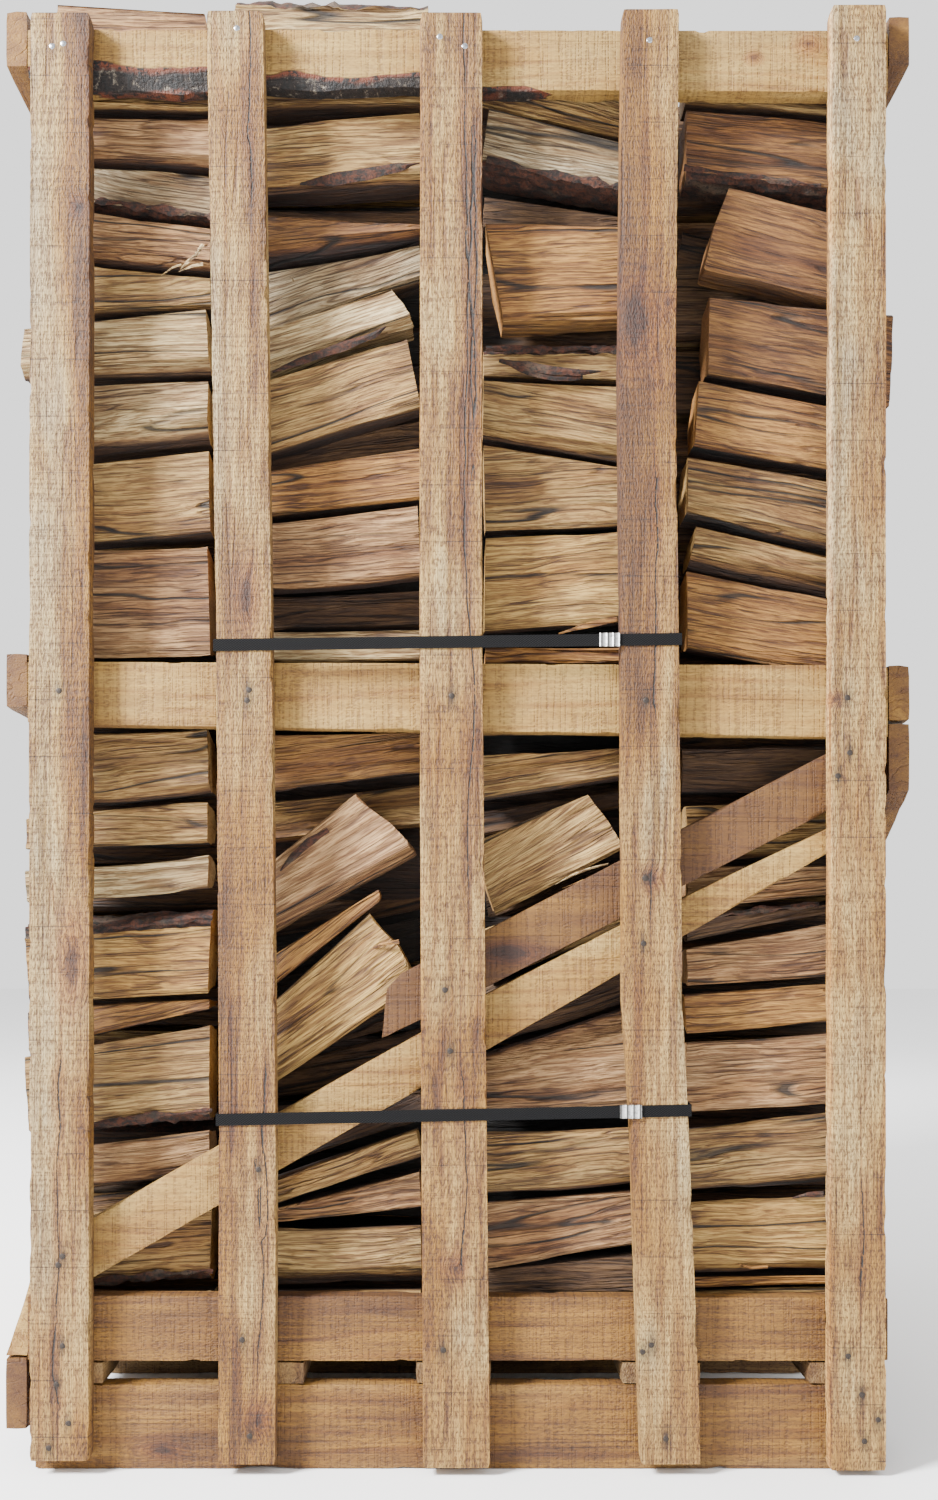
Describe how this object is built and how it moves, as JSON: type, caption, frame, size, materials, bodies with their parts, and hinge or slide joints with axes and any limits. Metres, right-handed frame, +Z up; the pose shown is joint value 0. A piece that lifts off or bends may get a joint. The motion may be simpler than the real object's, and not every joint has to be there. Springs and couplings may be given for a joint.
{
  "type": "crate of firewood",
  "caption": "Slatted board crate on a pallet base, packed with stacked split beech firewood and held by two flat straps.",
  "frame": {"origin": "middle of the footprint on the floor", "axes": "+X to the right seen from the front, +Y from the front to the back, +Z up"},
  "size_m": [1.118, 1.107, 1.767],
  "materials": {
    "slat_wood": "rough sawn board, weathered, with saw marks and nail stains",
    "rail_wood": "rough sawn board, pale, with fine upright saw lines",
    "base_wood": "rough sawn board, furry",
    "firewood": "split and torn along the grain, sawn ends, some bark",
    "strap_plastic": "embossed flat strapping",
    "seal_steel": "crimped seal"
  },
  "bodies": {
    "root": {"back_bottom_rail": "rail_wood", "back_brace_lower": "rail_wood", "back_brace_upper": "rail_wood", "back_mid_rail": "rail_wood", "back_slat_1_corner": "slat_wood", "back_slat_2": "slat_wood", "back_slat_3": "slat_wood", "back_slat_4": "slat_wood", "back_slat_5_corner": "slat_wood", "back_top_rail": "rail_wood", "base_bearer_1": "base_wood", "base_bearer_2": "base_wood", "base_bearer_3": "base_wood", "base_bearer_4": "base_wood", "deck_board_1": "base_wood", "deck_board_2": "base_wood", "deck_board_3": "base_wood", "deck_board_4": "base_wood", "deck_board_5": "base_wood", "front_bottom_rail": "rail_wood", "front_brace_lower": "rail_wood", "front_brace_upper": "rail_wood", "front_mid_rail": "rail_wood", "front_slat_1_corner": "slat_wood", "front_slat_2": "slat_wood", "front_slat_3": "slat_wood", "front_slat_4": "slat_wood", "front_slat_5_corner": "slat_wood", "front_top_rail": "rail_wood", "left_bottom_rail": "rail_wood", "left_brace": "rail_wood", "left_mid_rail": "rail_wood", "left_slat_1": "slat_wood", "left_slat_2": "slat_wood", "left_slat_3": "slat_wood", "left_top_rail": "rail_wood", "log_big_face": "firewood", "log_leaning_big": "firewood", "log_leaning_lower": "firewood", "log_leaning_middle": "firewood", "log_leaning_right": "firewood", "log_leaning_upper": "firewood", "log_on_top_left": "firewood", "log_on_top_middle": "firewood", "log_slanting_right": "firewood", "log_stack_1": "firewood", "log_stack_2": "firewood", "log_stack_3": "firewood", "log_stack_4": "firewood", "right_bottom_rail": "rail_wood", "right_brace": "rail_wood", "right_mid_rail": "rail_wood", "right_slat_1": "slat_wood", "right_slat_2": "slat_wood", "right_slat_3": "slat_wood", "right_top_rail": "rail_wood", "seal_lower": "seal_steel", "seal_upper": "seal_steel", "strap_lower": "strap_plastic", "strap_upper": "strap_plastic"}
  },
  "joints": []
}
